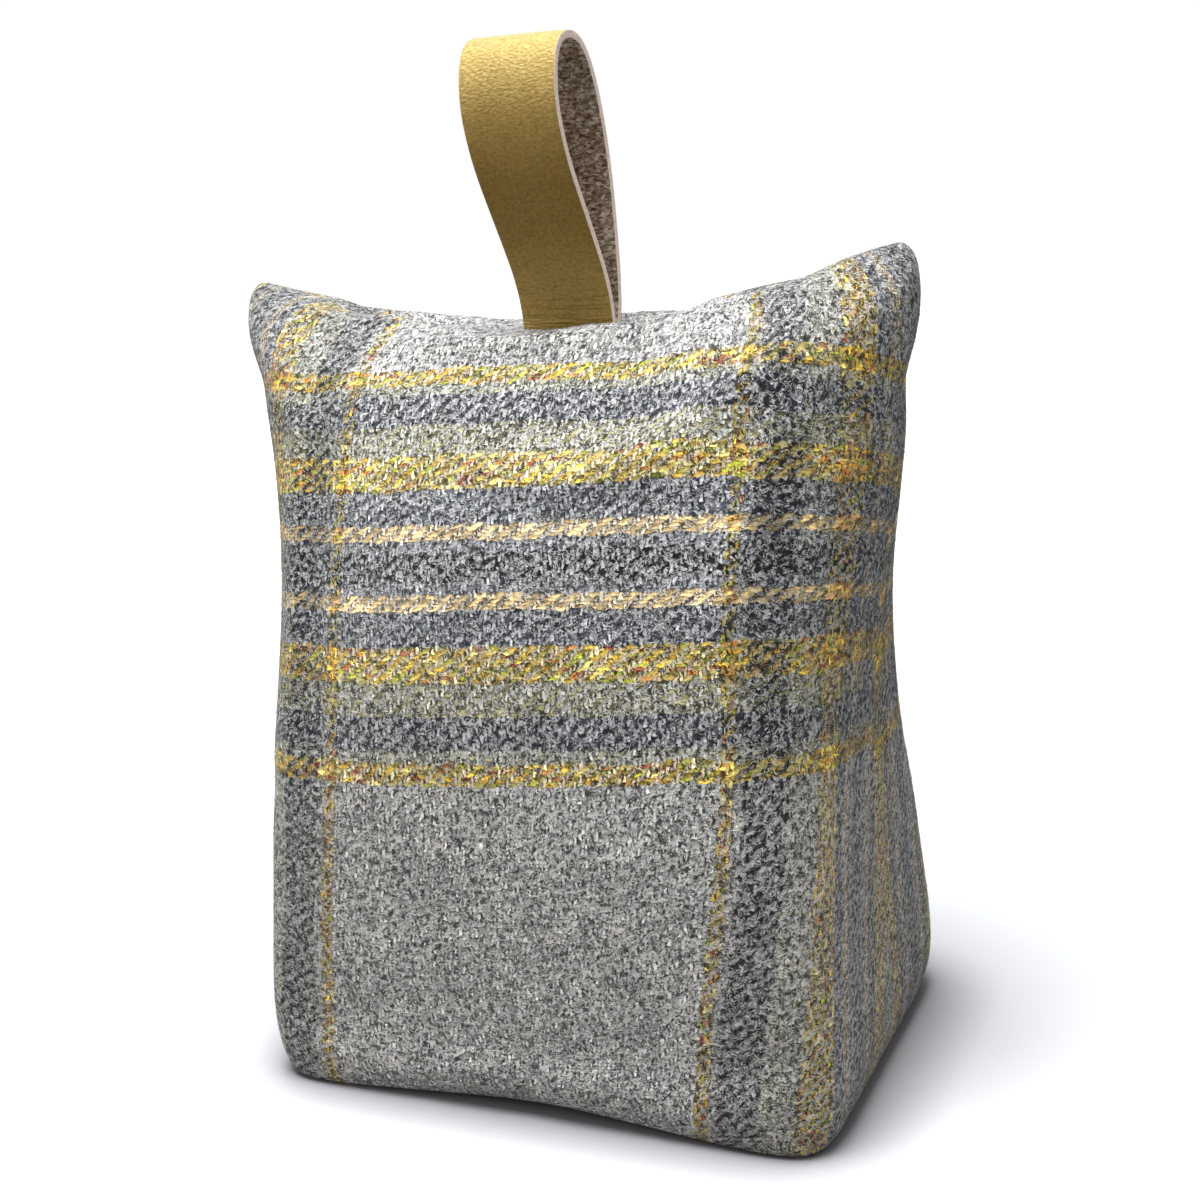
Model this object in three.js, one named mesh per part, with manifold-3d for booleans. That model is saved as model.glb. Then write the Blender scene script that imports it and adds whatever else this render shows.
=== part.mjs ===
// Weighted door stop: a box-bottomed wool pouch with a heavy fill, closed along the top by one
// straight seam, and carried by a loop of leather strap whose two tails are caught in that seam.
// Millimetres, +Z up. The origin is the centre of the base, and the front looks along -Y.
import * as THREE from 'three';
import { mergeVertices } from 'three/addons/utils/BufferGeometryUtils.js';
import Module from 'manifold-3d';

const wasm = await Module();
wasm.setup();

// Pouch: overall sizes
const BASE_WIDTH = 151;
const BASE_DEPTH = 109;
const BASE_EDGE_RADIUS = 3;
const BASE_EDGE_TUCK = 9.5;
const SEAM_LENGTH = 194.8;
const SEAM_MIDDLE_HEIGHT = 197.3;
const SEAM_FLAT_REACH = 29.5;
const EAR_RISE = 12.7;
const EAR_ROUNDING = 8.1;

// Pouch: how the fill pushes the cloth out, and how fast the boxed base turns into a soft pillow
const PANEL_BULGE = 6.4;
const SIDE_BULGE = 4.5;
const SIDE_BULGE_RISE = 0.09;
const SHOULDER_POWER = 5.2;
const BODY_SQUARENESS = 2.12;
const BASE_SQUARENESS = 12.3;
const CORNER_FADE_POWER = 2.7;
const EAR_RISE_POWER = 1;
const EAR_FLARE_POWER = 3.7;
const EAR_LIFT_POWER = 3.9;

// Pouch: the creases that the seams draw in, and the soft gathers that run down from the top one
const CREASE_DEPTH = 3.5;
const CREASE_WIDTH = 7;
const CREASE_START_POWER = 8;
const CREASE_END_POWER = 4;
const SIDE_SEAM_DEPTH = 0.9;
const SIDE_SEAM_WIDTH = 2.6;
const GATHER_DEPTH = 1.3;
const GATHER_SPACING = 22;
const GATHER_REACH = 30;

// Strap: one length of leather folded into a teardrop loop, measured along its middle
const STRAP_WIDTH = 25;
const STRAP_THICKNESS = 2.2;
const STRAP_SIDE_OFFSET = 2;
const TAIL_DEPTH = 12;
const LOOP_HEIGHT = 69.3;
const LOOP_LEAN = 16.3;
const LOOP_FRONT_REACH = 26.2;
const LOOP_FRONT_HEIGHT = 56;
const LOOP_BACK_REACH = 3.5;
const LOOP_BACK_HEIGHT = 13.5;

// Strap: for how much of each bend's rise or reach the leather keeps the direction it starts in
const FRONT_FOOT_PULL = 0.32;
const FRONT_CHEST_PULL = 0.34;
const CROWN_RISE_PULL = 0.74;
const CROWN_FRONT_PULL = 0.57;
const CROWN_BACK_PULL = 0.68;
const BACK_CHEST_PULL = 0.53;
const BACK_HEEL_PULL = 0.6;
const BACK_FOOT_PULL = 0.35;

// Fit between the strap and the seam that holds it
const STRAP_CLEARANCE = 0.3;
const TAIL_GAP = 0.3;

// Fineness of the surfaces
const RING_SEGMENTS = 88;
const WALL_RINGS = 30;
const BASE_EDGE_RINGS = 4;
const LOOP_STEPS = 12;

const woolCloth = new THREE.MeshStandardMaterial({ color: 0x8c8c8e, roughness: 0.95, metalness: 0 });
const strapLeather = new THREE.MeshStandardMaterial({ color: 0xb8944a, roughness: 0.6, metalness: 0 });

// A closed mesh as a solid that can be cut, and back again
function toSolid(geometry) {
  const bare = geometry.clone();
  bare.deleteAttribute('normal');
  bare.deleteAttribute('uv');
  const merged = mergeVertices(bare);
  return new wasm.Manifold(new wasm.Mesh({
    numProp: 3,
    vertProperties: new Float32Array(merged.attributes.position.array),
    triVerts: new Uint32Array(merged.index.array),
  }));
}

function toGeometry(solid) {
  const mesh = solid.getMesh();
  const geometry = new THREE.BufferGeometry();
  geometry.setAttribute('position', new THREE.BufferAttribute(mesh.vertProperties, mesh.numProp));
  geometry.setIndex(new THREE.BufferAttribute(mesh.triVerts, 1));
  geometry.computeVertexNormals();
  return geometry;
}

// 1 at no distance, falling smoothly to nothing a few widths away
function bell(distance, width) {
  return Math.exp(-((distance / width) ** 2));
}

// The swell of the fill low in a side: 0 at the base and the seam, and 1 where it is widest
function lowSwell(rise) {
  const fade = 1 / SIDE_BULGE_RISE - 1;
  return (rise / SIDE_BULGE_RISE) * ((1 - rise) / (1 - SIDE_BULGE_RISE)) ** fade;
}

// One point of the pouch wall: rise runs from 0 at the base to 1 at the seam, and turn goes round
function wallPoint(rise, turn) {
  const halfWidth = THREE.MathUtils.lerp(BASE_WIDTH, SEAM_LENGTH, rise ** EAR_FLARE_POWER) / 2
    + SIDE_BULGE * lowSwell(rise)
    - EAR_ROUNDING * rise ** (SEAM_MIDDLE_HEIGHT / EAR_ROUNDING);
  const halfDepth = (BASE_DEPTH / 2) * Math.sqrt(1 - rise ** SHOULDER_POWER)
    + PANEL_BULGE * Math.sin(Math.PI * rise);
  const squareness = THREE.MathUtils.lerp(
    BODY_SQUARENESS,
    BASE_SQUARENESS,
    (1 - rise) ** CORNER_FADE_POWER,
  );

  // A circle for a squareness of 2, and nearer to the box about it for more
  const stretch = (Math.abs(Math.cos(turn)) ** squareness
    + Math.abs(Math.sin(turn)) ** squareness) ** (-1 / squareness);
  const along = halfWidth * Math.cos(turn) * stretch;
  const across = halfDepth * Math.sin(turn) * stretch;

  // The ears stand above the flat middle of the seam, and the seam lies in a crease between them
  const earReach = SEAM_LENGTH / 2 - EAR_ROUNDING;
  const towardEar = Math.min(1, Math.abs(along) / earReach);
  const upEar = THREE.MathUtils.clamp(
    (Math.abs(along) - SEAM_FLAT_REACH) / (earReach - SEAM_FLAT_REACH),
    0,
    1,
  );
  const earLift = EAR_RISE * upEar ** EAR_RISE_POWER * rise ** EAR_LIFT_POWER;
  const crease = CREASE_DEPTH * bell(across, CREASE_WIDTH)
    * rise ** CREASE_START_POWER * (1 - towardEar ** CREASE_END_POWER);
  const z = SEAM_MIDDLE_HEIGHT * rise + earLift - crease;

  // The gathers are deepest just under the seam, and gone at the side seams and lower down
  const belowSeam = SEAM_MIDDLE_HEIGHT * (1 - rise);
  const gather = GATHER_DEPTH * Math.cos((2 * Math.PI * along) / GATHER_SPACING)
    * bell(belowSeam, GATHER_REACH) * (1 - towardEar ** 2) * Math.sin(Math.PI * rise);
  const y = across - gather * Math.sin(turn);

  // A side seam runs from each ear down the middle of the side
  const sideSeam = SIDE_SEAM_DEPTH * bell(across, SIDE_SEAM_WIDTH) * Math.cos(turn);
  return new THREE.Vector3(along - sideSeam, y, z);
}

// The base's edge is tight at the corners and the sides, and rolls under in the middle of the
// front and the back, where the fill pulls the cloth off the floor
function baseEdgeRadius(turn) {
  return BASE_EDGE_RADIUS + BASE_EDGE_TUCK * Math.max(0, -Math.cos(2 * turn));
}

// One point of the rounded edge between the base and the wall, a share of the way round it
function baseEdgePoint(share, turn) {
  const quarter = (share * Math.PI) / 2;
  const radius = baseEdgeRadius(turn);
  const inset = radius * (1 - Math.sin(quarter));
  const edge = wallPoint(radius / SEAM_MIDDLE_HEIGHT, turn);
  const reach = Math.hypot(edge.x, edge.y);
  const shrink = 1 - inset / reach;
  const height = radius * (1 - Math.cos(quarter));
  return new THREE.Vector3(edge.x * shrink, edge.y * shrink, height);
}

// Each ring is a function from a turn to a point, from the base upwards
function pouchRings() {
  const rings = [];
  for (let ring = 0; ring < BASE_EDGE_RINGS; ring += 1) {
    rings.push((turn) => baseEdgePoint(ring / BASE_EDGE_RINGS, turn));
  }
  for (let ring = 0; ring < WALL_RINGS; ring += 1) {
    // The rings crowd towards the top, where the cloth turns over to the seam
    const left = 1 - ring / WALL_RINGS;
    const start = (turn) => baseEdgeRadius(turn) / SEAM_MIDDLE_HEIGHT;
    rings.push((turn) => wallPoint(1 - (1 - start(turn)) * left ** 2, turn));
  }
  return rings;
}

// The sealed pouch with its fill: a flat base, a skin over the rings, and the seam that shuts it
function pouchShell() {
  const turnAt = (step) => (2 * Math.PI * step) / RING_SEGMENTS;
  const rings = pouchRings();
  const points = [];
  const faces = [];
  rings.forEach((pointAt) => {
    for (let step = 0; step < RING_SEGMENTS; step += 1) {
      points.push(...pointAt(turnAt(step)).toArray());
    }
  });
  for (let ring = 0; ring + 1 < rings.length; ring += 1) {
    const low = ring * RING_SEGMENTS;
    const high = low + RING_SEGMENTS;
    for (let step = 0; step < RING_SEGMENTS; step += 1) {
      const next = (step + 1) % RING_SEGMENTS;
      faces.push(low + step, low + next, high + next);
      faces.push(low + step, high + next, high + step);
    }
  }

  // The base is one flat fan about the origin
  const centre = points.length / 3;
  points.push(0, 0, 0);
  for (let step = 0; step < RING_SEGMENTS; step += 1) {
    faces.push(centre, (step + 1) % RING_SEGMENTS, step);
  }

  // The front and the back share the points of the seam, which runs from ear to ear
  const seamStart = points.length / 3;
  const half = RING_SEGMENTS / 2;
  for (let step = 0; step <= half; step += 1) {
    const point = wallPoint(1, turnAt(step));
    points.push(point.x, 0, point.z);
  }
  const seamPoint = (step) => seamStart + Math.min(step, RING_SEGMENTS - step);
  const top = (rings.length - 1) * RING_SEGMENTS;
  for (let step = 0; step < RING_SEGMENTS; step += 1) {
    faces.push(top + step, top + ((step + 1) % RING_SEGMENTS), seamPoint(step + 1));
    faces.push(top + step, seamPoint(step + 1), seamPoint(step));
  }

  const geometry = new THREE.BufferGeometry();
  geometry.setAttribute('position', new THREE.Float32BufferAttribute(points, 3));
  geometry.setIndex(faces);
  return geometry;
}

// Height of the stitched seam where the strap goes in
const NECK_HEIGHT = SEAM_MIDDLE_HEIGHT - CREASE_DEPTH;

// The pocket in the seam that the two tails of the strap are caught in
function tailPocket() {
  const width = STRAP_WIDTH + 2 * STRAP_CLEARANCE;
  const depth = 2 * STRAP_THICKNESS + TAIL_GAP + 2 * STRAP_CLEARANCE;
  const bottom = NECK_HEIGHT - TAIL_DEPTH - STRAP_CLEARANCE;
  const above = SEAM_MIDDLE_HEIGHT + EAR_RISE;
  const pocket = new THREE.BoxGeometry(width, depth, above - bottom);
  pocket.translate(STRAP_SIDE_OFFSET, 0, (above + bottom) / 2);
  return pocket;
}

function weightedPouch() {
  const cut = toSolid(pouchShell()).subtract(toSolid(tailPocket()));
  const pouch = new THREE.Mesh(toGeometry(cut), woolCloth);
  pouch.name = 'weighted_pouch';
  return pouch;
}

// One bend of the strap. Each end is upright or level, and keeps that direction for its pull.
function bend(start, startPull, end, endPull) {
  const rise = end.at.y - start.at.y;
  const reach = end.at.x - start.at.x;
  const keep = (point, pull) => (
    point.level ? new THREE.Vector2(reach * pull, 0) : new THREE.Vector2(0, rise * pull)
  );
  const leaving = start.at.clone().add(keep(start, startPull));
  const arriving = end.at.clone().sub(keep(end, endPull));
  return new THREE.CubicBezierCurve(start.at, leaving, arriving, end.at);
}

// The middle line of the strap in the side view, x front to back and y up from the neck:
// up the front tail, out to the front of the loop, over the top, down the back and into the neck
function loopLine() {
  const tail = (STRAP_THICKNESS + TAIL_GAP) / 2;
  const spot = (x, y, level = false) => ({ at: new THREE.Vector2(x, y), level });
  const frontNeck = spot(-tail, 0);
  const front = spot(-LOOP_FRONT_REACH, LOOP_FRONT_HEIGHT);
  const crown = spot(-LOOP_LEAN, LOOP_HEIGHT, true);
  const back = spot(LOOP_BACK_REACH, LOOP_BACK_HEIGHT);
  const backNeck = spot(tail, 0);
  return [
    new THREE.LineCurve(new THREE.Vector2(-tail, -TAIL_DEPTH), frontNeck.at),
    bend(frontNeck, FRONT_FOOT_PULL, front, FRONT_CHEST_PULL),
    bend(front, CROWN_RISE_PULL, crown, CROWN_FRONT_PULL),
    bend(crown, CROWN_BACK_PULL, back, BACK_CHEST_PULL),
    bend(back, BACK_HEEL_PULL, backNeck, BACK_FOOT_PULL),
    new THREE.LineCurve(backNeck.at, new THREE.Vector2(tail, -TAIL_DEPTH)),
  ];
}

// Half the thickness of the leather is set off to each side of the middle line
function strapOutline() {
  const outside = [];
  const inside = [];
  loopLine().forEach((piece, index) => {
    // Each piece starts where the one before it ended, so only the first has its start drawn
    const steps = piece.isLineCurve ? 1 : LOOP_STEPS;
    for (let step = index === 0 ? 0 : 1; step <= steps; step += 1) {
      const middle = piece.getPoint(step / steps);
      const along = piece.getTangent(step / steps);
      const away = new THREE.Vector2(-along.y, along.x).multiplyScalar(STRAP_THICKNESS / 2);
      outside.push(middle.clone().add(away));
      inside.push(middle.clone().sub(away));
    }
  });
  return new THREE.Shape([...outside, ...inside.reverse()]);
}

function leatherHandle() {
  const band = new THREE.ExtrudeGeometry(strapOutline(), { depth: STRAP_WIDTH, bevelEnabled: false });
  band.translate(0, 0, -STRAP_WIDTH / 2);

  // The side view stands upright, and the width of the strap lies along the seam
  const backward = new THREE.Vector3(0, 1, 0);
  const upward = new THREE.Vector3(0, 0, 1);
  const sideways = new THREE.Vector3(1, 0, 0);
  band.applyMatrix4(new THREE.Matrix4().makeBasis(backward, upward, sideways));
  const handle = new THREE.Mesh(band, strapLeather);
  handle.name = 'leather_handle';
  handle.position.set(STRAP_SIDE_OFFSET, 0, NECK_HEIGHT);
  return handle;
}

const doorStop = new THREE.Group();
doorStop.add(weightedPouch(), leatherHandle());

export default doorStop;
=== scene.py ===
# %% [markdown]
# # Weighted fabric door stop
#
# The object is a heavy pouch of woollen tweed with a leather carrying loop. This file builds its
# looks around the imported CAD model, which is the frame: metres, +Z up, the front looks along -Y,
# and the origin is the centre of the flat base.
#
# A soft thing like this could be sculpted by hand, but cloth has its own rules: it hardly
# stretches, its threads stay parallel, and its check bends with it. So the cloth is laid out flat
# as a grid first, gets its thread lines there, and is then wrapped into the pouch and blown up.

# %% Load the frame
import math

import bpy
import numpy as np
from mathutils import Matrix, Vector


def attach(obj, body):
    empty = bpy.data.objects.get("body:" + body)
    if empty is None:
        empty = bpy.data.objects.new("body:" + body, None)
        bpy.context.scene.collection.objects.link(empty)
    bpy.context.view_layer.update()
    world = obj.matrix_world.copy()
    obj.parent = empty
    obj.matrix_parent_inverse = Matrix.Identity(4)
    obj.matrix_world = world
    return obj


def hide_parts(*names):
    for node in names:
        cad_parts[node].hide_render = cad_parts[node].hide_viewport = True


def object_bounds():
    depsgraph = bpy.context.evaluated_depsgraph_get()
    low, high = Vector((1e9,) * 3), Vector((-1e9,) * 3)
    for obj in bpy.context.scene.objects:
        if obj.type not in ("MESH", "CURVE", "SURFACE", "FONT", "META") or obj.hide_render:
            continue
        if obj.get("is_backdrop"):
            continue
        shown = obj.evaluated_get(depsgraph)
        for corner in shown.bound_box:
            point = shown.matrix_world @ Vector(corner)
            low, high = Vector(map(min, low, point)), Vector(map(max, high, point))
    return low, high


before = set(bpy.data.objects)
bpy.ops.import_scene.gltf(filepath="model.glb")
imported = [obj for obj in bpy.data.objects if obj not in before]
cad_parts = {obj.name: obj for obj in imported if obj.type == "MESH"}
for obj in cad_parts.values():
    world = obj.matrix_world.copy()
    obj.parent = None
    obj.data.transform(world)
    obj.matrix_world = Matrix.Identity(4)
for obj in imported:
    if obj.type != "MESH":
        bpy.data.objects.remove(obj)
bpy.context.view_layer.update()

MM = 0.001
BODY = "root"

# %% [markdown]
# ## Small helpers
#
# An operator acts on everything that is selected, so each piece starts from an empty selection.
# Colours are written as the hex numbers that a paint program shows, which are sRGB, while Blender
# mixes light in linear values. A material is a graph of nodes, so one helper adds a node, sets
# its options, and fills each input with either a value or the output of another node. The ones
# after it do the same for the kinds of node that come up most.

# %% Helpers
def nothing_selected():
    if bpy.context.object and bpy.context.object.mode != "OBJECT":
        bpy.ops.object.mode_set(mode="OBJECT")
    bpy.ops.object.select_all(action="DESELECT")


def linear(hex_colour):
    def channel(start):
        value = int(hex_colour[start:start + 2], 16) / 255
        return value / 12.92 if value <= 0.04045 else ((value + 0.055) / 1.055) ** 2.4
    return (channel(1), channel(3), channel(5), 1.0)


def add_node(tree, kind, inputs=None, **options):
    node = tree.nodes.new("ShaderNode" + kind)
    for name, value in options.items():
        setattr(node, name, value)
    for name, value in (inputs or {}).items():
        if isinstance(value, bpy.types.Node):
            value = value.outputs[0]
        if isinstance(value, bpy.types.NodeSocket):
            tree.links.new(value, node.inputs[name])
        else:
            node.inputs[name].default_value = value
    return node


def math_node(tree, operation, *values, **options):
    return add_node(tree, "Math", dict(enumerate(values)), operation=operation, **options)


def vector_node(tree, operation, *values):
    return add_node(tree, "VectorMath", dict(enumerate(values)), operation=operation)


def map_range(tree, value, from_low, from_high, to_low, to_high, **options):
    values = (value, from_low, from_high, to_low, to_high)
    return add_node(tree, "MapRange", dict(enumerate(values)), **options)


def noise(tree, place, scale, detail=2.0, roughness=0.5, distortion=0.0, dimensions="3D"):
    inputs = {"Vector": place, "Scale": scale, "Detail": detail, "Roughness": roughness,
              "Distortion": distortion}
    return add_node(tree, "TexNoise", inputs, noise_dimensions=dimensions)


def mixed(tree, share, first, second):
    """The colour between the first, where the share is 0, and the second, where it is 1."""
    return add_node(tree, "Mix", {0: share, 6: first, 7: second}, data_type="RGBA").outputs[2]


def new_material(name):
    material = bpy.data.materials.new(name)
    material.use_nodes = True
    material.node_tree.nodes.clear()
    return material


print("helpers ready")

# %% [markdown]
# ## The camera
#
# The photo was taken from close by, from the right and a little above, with the camera tilted a
# few degrees. The place was worked out from the corners of the base, the ears and the strap, and
# a picture 1200 pixels wide then needs a lens of 54 mm on a 36 mm sensor.

# %% Camera
CAMERA_PLACE = (0.19511, -0.41737, 0.23527)
CAMERA_TURN = 24.539
CAMERA_DIP = 13.831
CAMERA_TILT = -3.952
CAMERA_LENS = 54.0

nothing_selected()
bpy.ops.object.camera_add()
camera = bpy.context.object
camera.name = "photo_camera"
camera.data.lens = CAMERA_LENS
camera.data.sensor_width = 36.0
camera.data.clip_start = 0.02
camera.matrix_world = (
    Matrix.Translation(CAMERA_PLACE)
    @ Matrix.Rotation(math.radians(CAMERA_TURN), 4, "Z")
    @ Matrix.Rotation(math.radians(90 - CAMERA_DIP), 4, "X")
    @ Matrix.Rotation(math.radians(CAMERA_TILT), 4, "Z")
)
bpy.context.scene.camera = camera
print("camera at", CAMERA_PLACE)

# %% [markdown]
# ## The pouch, step 1: its form as a formula
#
# The pouch starts as a sharp box at the base and ends as a straight seam between two ears. In
# between it is a pillow. Each level is a rounded rectangle, and how square it is falls quickly
# with height. The sizes are the CAD model's, so the cloth lands where the solid is.

# %% Pouch sizes in millimetres
BASE_WIDTH = 151
BASE_DEPTH = 109
BASE_EDGE_RADIUS = 3
BASE_EDGE_TUCK = 9.5
SEAM_LENGTH = 194.8
SEAM_HEIGHT = 197.3
SEAM_FLAT_REACH = 29.5
EAR_ROUNDING = 8.1
EAR_LIFT_POWER = 3.9
PANEL_BULGE = 6.4
SIDE_BULGE = 4.5
SIDE_BULGE_RISE = 0.09
SHOULDER_POWER = 5.2
BODY_SQUARENESS = 2.12
BASE_SQUARENESS = 12.3
CORNER_FADE_POWER = 2.7
EAR_FLARE_POWER = 3.7
CREASE_DEPTH = 3.5
CREASE_WIDTH = 7
CREASE_POWER = 8

# The ears aren't alike: the right one stands higher and fuller. Each rises in a slope and then a
# small step, where the cloth of the corner is folded in, and has a dent under it.
RIGHT_EAR_RISE = 13.0
RIGHT_EAR_POWER = 0.80
RIGHT_EAR_STEP = 2.4
LEFT_EAR_RISE = 10.4
LEFT_EAR_POWER = 1.2
LEFT_EAR_STEP = 1.8
EAR_STEP_START = 60
EAR_STEP_END = 74
EAR_DENT_DEPTH = 2.2
EAR_DENT_BELOW = 27
EAR_DENT_SIZE = 8
EAR_DENT_WIDTH = 16


def bell(distance, width):
    return np.exp(-((distance / width) ** 2))


def level_size(rise):
    """Half width, half depth and squareness of the pouch where rise runs from 0 to 1."""
    fade = 1 / SIDE_BULGE_RISE - 1
    low_swell = (rise / SIDE_BULGE_RISE) * ((1 - rise) / (1 - SIDE_BULGE_RISE)) ** fade
    half_width = (
        (BASE_WIDTH + (SEAM_LENGTH - BASE_WIDTH) * rise ** EAR_FLARE_POWER) / 2
        + SIDE_BULGE * low_swell
        - EAR_ROUNDING * rise ** (SEAM_HEIGHT / EAR_ROUNDING)
    )
    half_depth = (
        BASE_DEPTH / 2 * math.sqrt(max(0, 1 - rise ** SHOULDER_POWER))
        + PANEL_BULGE * math.sin(math.pi * rise)
    )
    squareness = (
        BODY_SQUARENESS + (BASE_SQUARENESS - BODY_SQUARENESS) * (1 - rise) ** CORNER_FADE_POWER
    )
    return half_width, half_depth, squareness


def quarter_level(rise, shares):
    """Points on a quarter of one level, from the middle of the side to the middle of the panel.

    The points are spaced evenly along the cloth, which is what keeps the threads parallel.
    """
    half_width, half_depth, squareness = level_size(rise)
    turn = np.linspace(0, math.pi / 2, 400)
    reach = (np.cos(turn) ** squareness + np.sin(turn) ** squareness) ** (-1 / squareness)
    x = half_width * np.cos(turn) * reach
    y = half_depth * np.sin(turn) * reach
    length = np.concatenate([[0], np.cumsum(np.hypot(np.diff(x), np.diff(y)))])
    wanted = np.asarray(shares) * length[-1]
    return np.interp(wanted, length, x), np.interp(wanted, length, y)


print("half width, half depth at mid height:", [round(v, 1) for v in level_size(0.5)[:2]])

# %% [markdown]
# ## The pouch, step 2: the cloth laid flat
#
# A grid stands for the cut cloth. Its columns run up the pouch and its rows run round it, from
# the right side seam over the back and the front to the same seam again. The first rows are the
# base. Rows are spaced evenly along the cloth too, so every face of the grid is about 4 mm.

# %% Lay out the cloth
COLUMNS = 144
BASE_ROWS = 12
EDGE_ROWS = 3
WALL_ROWS = 58
ROWS = BASE_ROWS + EDGE_ROWS + WALL_ROWS

nothing_selected()
bpy.ops.mesh.primitive_grid_add(x_subdivisions=COLUMNS, y_subdivisions=ROWS, size=1)
pouch = bpy.context.object
pouch.name = "tweed_pouch"
flat = np.array([v.co for v in pouch.data.vertices])
column_share = (flat[:, 0] - flat[:, 0].min()) / np.ptp(flat[:, 0])
row_share = (flat[:, 1] - flat[:, 1].min()) / np.ptp(flat[:, 1])
column = np.rint(column_share * COLUMNS).astype(int)
row = np.rint(row_share * ROWS).astype(int)
print("cloth grid:", len(flat), "points")

# %% [markdown]
# ## The pouch, step 3: wrap it
#
# Each point of the grid is moved to its level of the form. After that comes what sewing does: the
# top seam lies in a shallow crease between two ears that rise from its ends, and the edge of the
# base, sharp at the corners, rolls under in the middle of each panel.

# %% Wrap the cloth round the fill
QUARTER = COLUMNS // 4


def wall_rises():
    """Levels that are evenly spaced along the cloth up the middle of the front."""
    start = BASE_EDGE_RADIUS / SEAM_HEIGHT
    fine = np.linspace(start, 1, 4000)
    depth = np.array([level_size(r)[1] for r in fine])
    length = np.concatenate([[0], np.cumsum(np.hypot(np.diff(depth), np.diff(fine * SEAM_HEIGHT)))])
    rises = np.interp(np.linspace(0, length[-1], WALL_ROWS + 1), length, fine)
    return rises, length[-1]


def wrapped_row(rise):
    """All points round one level, with what the seams and the ears do to them."""
    shares = np.arange(QUARTER + 1) / QUARTER
    qx, qy = quarter_level(rise, shares)
    step = np.arange(COLUMNS + 1)
    quarter, inside = step // QUARTER, step % QUARTER
    mirrored = quarter % 2 == 1
    pick = np.where(mirrored, QUARTER - inside, inside)
    side_x = np.where((quarter == 1) | (quarter == 2), -1, 1)
    side_y = np.where(quarter >= 2, -1, 1)
    side_x = np.where(step == COLUMNS, 1, side_x)
    pick = np.where(step == COLUMNS, 0, pick)
    x = qx[pick] * side_x
    y = qy[pick] * side_y
    ear_reach = SEAM_LENGTH / 2 - EAR_ROUNDING
    toward_ear = np.minimum(1, np.abs(x) / ear_reach)
    up_ear = np.clip((np.abs(x) - SEAM_FLAT_REACH) / (ear_reach - SEAM_FLAT_REACH), 0, 1)
    ear = np.where(
        x > 0,
        RIGHT_EAR_RISE * up_ear ** RIGHT_EAR_POWER,
        LEFT_EAR_RISE * up_ear ** LEFT_EAR_POWER,
    )
    up_step = np.clip((np.abs(x) - EAR_STEP_START) / (EAR_STEP_END - EAR_STEP_START), 0, 1)
    step_rise = np.where(x > 0, RIGHT_EAR_STEP, LEFT_EAR_STEP)
    ear = ear + step_rise * up_step ** 2 * (3 - 2 * up_step)
    lift = ear * rise ** EAR_LIFT_POWER
    crease = CREASE_DEPTH * bell(y, CREASE_WIDTH) * rise ** CREASE_POWER * (1 - toward_ear ** 4)
    z = SEAM_HEIGHT * rise + lift - crease
    dent_height = SEAM_HEIGHT + LEFT_EAR_RISE - EAR_DENT_BELOW
    dent = EAR_DENT_DEPTH * bell(z - dent_height, EAR_DENT_SIZE)
    dent *= bell(y, EAR_DENT_WIDTH) * toward_ear ** 2
    x = x - np.sign(x) * dent
    return np.stack([x, y, z], axis=1)


def tucked_under(points):
    """The edge of the base is tight at the corners, and rolls under in the middle of a panel."""
    x = points[..., 0] / (BASE_WIDTH / 2)
    y = points[..., 1] / (BASE_DEPTH / 2)
    toward_panel = np.clip((y ** 2 - x ** 2) / (x ** 2 + y ** 2 + 1e-9), 0, 1)
    radius = BASE_EDGE_RADIUS + BASE_EDGE_TUCK * toward_panel
    left = np.clip(radius - points[..., 2], 0, None)
    inset = radius - np.sqrt(radius ** 2 - left ** 2)
    reach = np.hypot(points[..., 0], points[..., 1]) + 1e-9
    outer = np.maximum(np.abs(x), np.abs(y))
    shrink = 1 - inset / reach * np.clip(outer, 0, 1) ** 0.5
    return points * np.stack([shrink, shrink, np.ones_like(shrink)], axis=-1)


rises, front_length = wall_rises()
rows = []
foot = wrapped_row(rises[0])
for base_row in range(BASE_ROWS):
    ring = foot * (base_row / BASE_ROWS)
    ring[:, 2] = 0
    rows.append(ring)
for edge_row in range(EDGE_ROWS):
    ring = foot.copy()
    ring[:, 2] = BASE_EDGE_RADIUS * (1 - math.cos(edge_row / EDGE_ROWS * math.pi / 2))
    rows.append(ring)
for rise in rises:
    rows.append(wrapped_row(rise))
wrapped = tucked_under(np.array(rows))
pouch.data.vertices.foreach_set("co", (wrapped[row, column] * MM).ravel())
print("cloth up the front:", round(front_length, 1), "mm")

# %% [markdown]
# ## The pouch, step 4: thread lines
#
# A weave has to follow the cloth, so it reads a UV map. One unit of the map is one repeat of the
# check, 203 mm, and the middle of a band of stripes lies on a whole number.
#
# Cut cloth isn't quite the shape of the pouch. It narrows on its way up, and near the seam the
# spare width is gathered in. The grain is pulled a little to the right, as it is in most sewn
# pouches, and the fill bows the bands. The back is cut the same way round as the front.

# %% Thread lines
REPEAT = 203
BAND_HEIGHT = 143
CLOTH_HEIGHT = 220.6
CLOTH_HALF_BASE = 132.6
CLOTH_HALF_SEAM = 103
SEAM_GATHER = 16
SEAM_GATHER_FROM = 0.82
GRAIN_AT_BASE = -6
GRAIN_ABOVE = 6.8
GRAIN_SETTLES = 115
# The fill bows the bands: how far they rise in millimetres, as polynomials of the distance from
# the middle of the panel in steps of 60 mm, at the band and for each 60 mm above it
BOW_REACH = 60
BOW_AT_BAND = (-1.2, -1.5, 3.5, 1.0)
BOW_ABOVE_BAND = (-0.6, -1.0, -3.9)
BOW_STEPS_ACROSS = 1.4
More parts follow.
